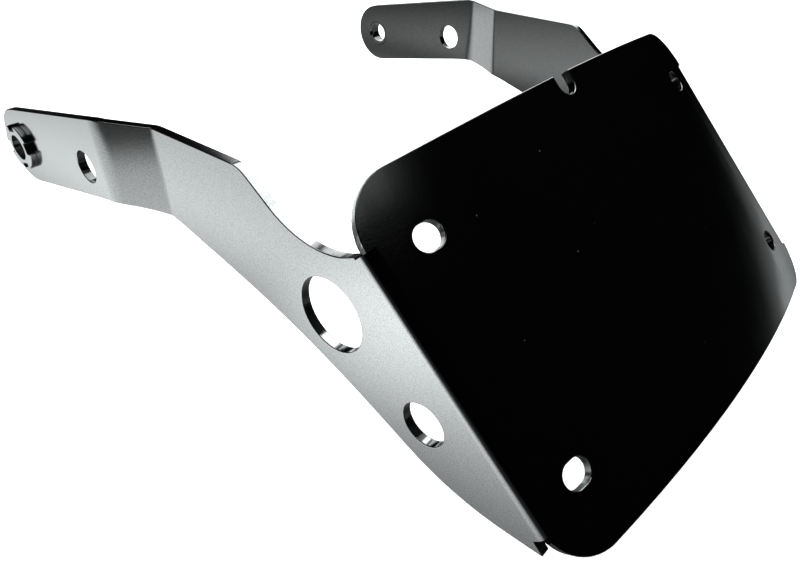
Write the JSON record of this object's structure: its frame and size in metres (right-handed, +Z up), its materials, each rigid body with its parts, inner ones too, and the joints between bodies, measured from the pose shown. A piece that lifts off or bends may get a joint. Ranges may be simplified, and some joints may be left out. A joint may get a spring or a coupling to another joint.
{
  "type": "license plate holder",
  "caption": "Side-arm license plate holder for a motorbike: one folded gloss black sheet with a bowed, slotted plate, two cranked arms and a notched collar in each front end.",
  "frame": {"origin": "middle of the part, on the common axis of the two collars' bores", "axes": "+X across from the left arm to the right arm, +Y forward from the plate towards the arms' front ends, +Z up as fitted to the bike"},
  "size_m": [0.1988, 0.2526, 0.0869],
  "materials": {
    "coated_sheet": "gloss",
    "coated_collar": "gloss"
  },
  "bodies": {
    "root": {"bracket": "coated_sheet", "left_collar": "coated_collar", "right_collar": "coated_collar"}
  },
  "joints": []
}
